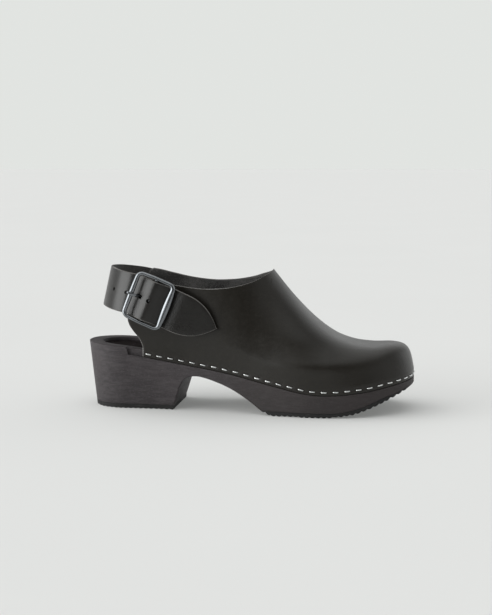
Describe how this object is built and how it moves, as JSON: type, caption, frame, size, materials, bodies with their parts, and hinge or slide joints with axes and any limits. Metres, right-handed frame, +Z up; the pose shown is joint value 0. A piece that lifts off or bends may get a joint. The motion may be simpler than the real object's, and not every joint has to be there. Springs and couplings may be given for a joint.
{
  "type": "slingback clog",
  "caption": "Closed-toe leather slingback clog on a carved wooden sole with a block heel, a stapled upper, rubber under the forefoot and heel, and a buckled heel strap that swings.",
  "frame": {"origin": "on the floor, under the centre of the shoe's bounding box", "axes": "+X towards the toe, +Y towards the inner side of this right foot, +Z up"},
  "size_m": [0.2533, 0.0944, 0.1084],
  "materials": {
    "sole_wood": "stained, low sheen",
    "tread_rubber": "matte",
    "nail_steel": "plain",
    "upper_leather": "smooth black, soft sheen",
    "puff_board": "matte",
    "staple_steel": "bright",
    "strap_leather": "smooth black, soft sheen",
    "buckle_steel": "dark, polished"
  },
  "bodies": {
    "shoe": {"wooden_sole": "sole_wood", "forefoot_outsole": "tread_rubber", "heel_top_lift": "tread_rubber", "outsole_nails": "nail_steel", "top_lift_nails": "nail_steel", "upper": "upper_leather", "toe_puff": "puff_board", "upper_staples": "staple_steel", "chape_rivet": "buckle_steel", "chape_rivet_cap": "buckle_steel", "strap_rivet": "buckle_steel", "strap_rivet_cap": "buckle_steel"},
    "strap": {"heel_strap": "strap_leather", "buckle_chape": "strap_leather"},
    "buckle": {"buckle_frame": "buckle_steel"},
    "tongue": {"buckle_tongue": "buckle_steel"}
  },
  "joints": [
    {"name": "strap_swing", "type": "hinge", "parent": "shoe", "child": "strap", "pos_m": [-0.046, 0, 0.076], "axis": [0, 1, 0], "range_deg": [-20, 30]},
    {"name": "buckle_tilt", "type": "hinge", "parent": "strap", "child": "buckle", "pos_m": [-0.0713, -0.0378, 0.0846], "axis": [0.3746, 0, 0.9272], "range_deg": [-2.5, 2]},
    {"name": "tongue_lift", "type": "hinge", "parent": "buckle", "child": "tongue", "pos_m": [-0.0713, -0.0378, 0.0846], "axis": [0.3746, 0, 0.9272], "range_deg": [0, 8]}
  ]
}
